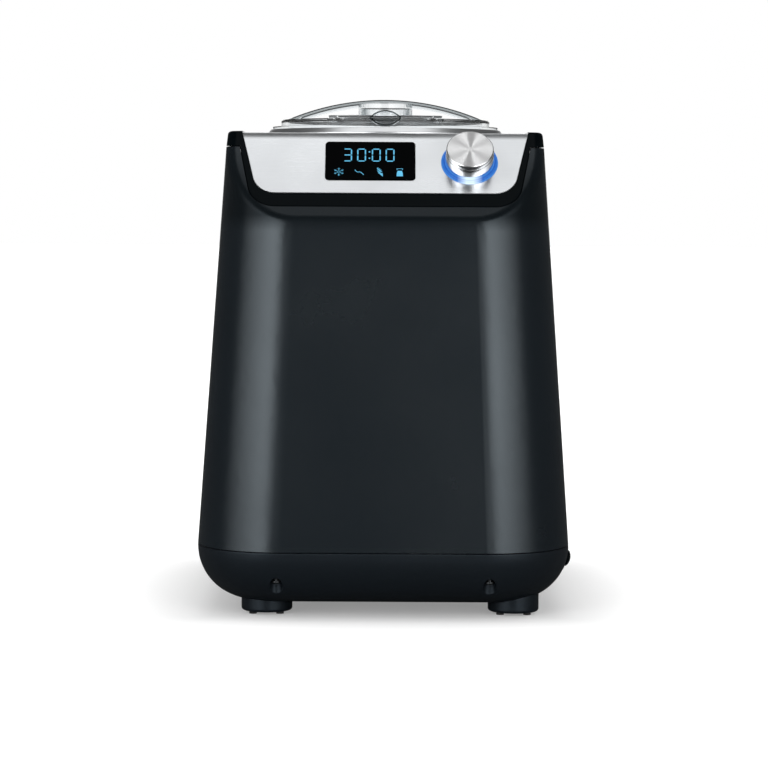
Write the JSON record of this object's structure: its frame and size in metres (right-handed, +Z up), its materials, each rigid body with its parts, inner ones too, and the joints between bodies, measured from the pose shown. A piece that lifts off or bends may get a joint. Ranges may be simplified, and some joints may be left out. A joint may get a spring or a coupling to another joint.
{
  "type": "ice cream maker",
  "caption": "Upright compressor ice cream maker with a tapered black body, sloping steel panel with display and knob, and a clear lid over a lift-out bowl.",
  "frame": {"origin": "centre of the footprint on the surface it stands on, under the body's middle", "axes": "+Z up, the control panel faces -Y, +X to the right seen from the front"},
  "size_m": [0.2662, 0.3194, 0.3656],
  "materials": {
    "bearing_bronze": "sintered",
    "board_green": "circuit board",
    "bowl_alu": "spun",
    "clear": "clear plastic",
    "compressor_black": "enamel",
    "copper": "drawn copper",
    "foam": "rigid foam",
    "frame_black": "gloss",
    "gear_plastic": "acetal",
    "internal_black": "moulded",
    "knob": "spun",
    "light_blue": "lit translucent",
    "paddle_plastic": "moulded",
    "pin_steel": "ground",
    "rubber": "matt",
    "sheet_zinc": "zinc coated",
    "shell_black": "satin moulded",
    "silicone": "soft translucent",
    "steel_brushed": "brushed",
    "steel_polished": "polished",
    "window": "gloss black glass"
  },
  "bodies": {
    "body": {"outer_shell": "shell_black", "rear_cover": "shell_black", "vent_grille_left": "shell_black", "vent_grille_right": "shell_black", "base_pan": "shell_black", "bottom_plate": "sheet_zinc", "case_screws": "pin_steel", "cable_gland": "rubber", "top_frame": "frame_black", "top_panel": "steel_brushed", "collar_ring": "steel_polished", "display_window": "window", "display_board": "board_green", "knob_light_ring": "light_blue", "encoder_body": "internal_black", "power_switch_bezel": "frame_black", "power_switch_body": "internal_black", "evaporator_pot": "bowl_alu", "evaporator_coil": "copper", "insulation_jacket": "foam", "insulation_base": "foam", "chamber_support": "sheet_zinc", "upper_bearing": "bearing_bronze", "shaft_seal": "rubber", "gearbox_housing": "internal_black", "gearbox_cover": "sheet_zinc", "idler_pin": "pin_steel", "motor_can": "sheet_zinc", "compressor_shell": "compressor_black", "compressor_mounts": "rubber", "condenser": "copper", "fan_frame": "internal_black", "filter_drier": "copper", "refrigerant_pipes": "copper", "chassis_plate": "sheet_zinc", "power_board": "board_green", "foot_front_left": "shell_black", "foot_pad_front_left": "rubber", "foot_front_right": "shell_black", "foot_pad_front_right": "rubber", "foot_rear_left": "shell_black", "foot_pad_rear_left": "rubber", "foot_rear_right": "shell_black", "foot_pad_rear_right": "rubber"},
    "plunger": {"encoder_plunger": "pin_steel"},
    "knob": {"control_knob": "knob"},
    "button": {"power_button": "frame_black"},
    "bowl": {"ice_bowl": "bowl_alu"},
    "paddle": {"mixing_paddle": "paddle_plastic"},
    "lid": {"lid_body": "clear", "lid_handle": "clear", "lid_seal": "silicone", "flap_hinge_pin": "pin_steel"},
    "flap": {"refill_flap": "clear"},
    "output": {"drive_shaft": "pin_steel", "output_gear": "gear_plastic"},
    "idler": {"idler_gear": "gear_plastic"},
    "motor": {"motor_pinion": "pin_steel"},
    "fan": {"fan_rotor": "internal_black"}
  },
  "joints": [
    {"name": "knob_press", "type": "slide", "parent": "body", "child": "plunger", "axis": [0, 0.766, -0.6428], "range_m": [0, 0.0008], "stiffness_N_per_m": 900, "springref_m": -0.001},
    {"name": "knob_turn", "type": "hinge", "parent": "plunger", "child": "knob", "pos_m": [0.0592, -0.11503, 0.32453], "axis": [0, -0.766, 0.6428], "continuous": true},
    {"name": "power_press", "type": "slide", "parent": "body", "child": "button", "axis": [-0.9744, 0, 0.225], "range_m": [0, 0.0015], "stiffness_N_per_m": 700, "springref_m": -0.001},
    {"name": "bowl_lift", "type": "slide", "parent": "body", "child": "bowl", "axis": [0, 0, 1], "range_m": [0, 0.16]},
    {"name": "lid_lift", "type": "slide", "parent": "bowl", "child": "lid", "axis": [0, 0, 1], "range_m": [0, 0.09]},
    {"name": "flap_open", "type": "hinge", "parent": "lid", "child": "flap", "pos_m": [0, -0.006, 0.3507], "axis": [-1, 0, 0], "range_deg": [0, 92]},
    {"name": "paddle_spin", "type": "hinge", "parent": "bowl", "child": "paddle", "pos_m": [0, 0.02, 0.25], "axis": [0, 0, 1], "continuous": true},
    {"name": "output_spin", "type": "hinge", "parent": "body", "child": "output", "pos_m": [0, 0.02, 0.17], "axis": [0, 0, 1], "continuous": true},
    {"name": "idler_spin", "type": "hinge", "parent": "body", "child": "idler", "pos_m": [0.03, 0.02, 0.168], "axis": [0, 0, 1], "continuous": true},
    {"name": "motor_spin", "type": "hinge", "parent": "body", "child": "motor", "pos_m": [0.03, 0.05, 0.16], "axis": [0, 0, 1], "continuous": true},
    {"name": "fan_spin", "type": "hinge", "parent": "body", "child": "fan", "pos_m": [0.07, -0.025, 0.086], "axis": [1, 0, 0], "continuous": true}
  ],
  "couplings": [
    {"joint": "paddle_spin", "follows": "output_spin", "ratio": 1},
    {"joint": "idler_spin", "follows": "output_spin", "ratio": -4},
    {"joint": "motor_spin", "follows": "output_spin", "ratio": 16}
  ]
}
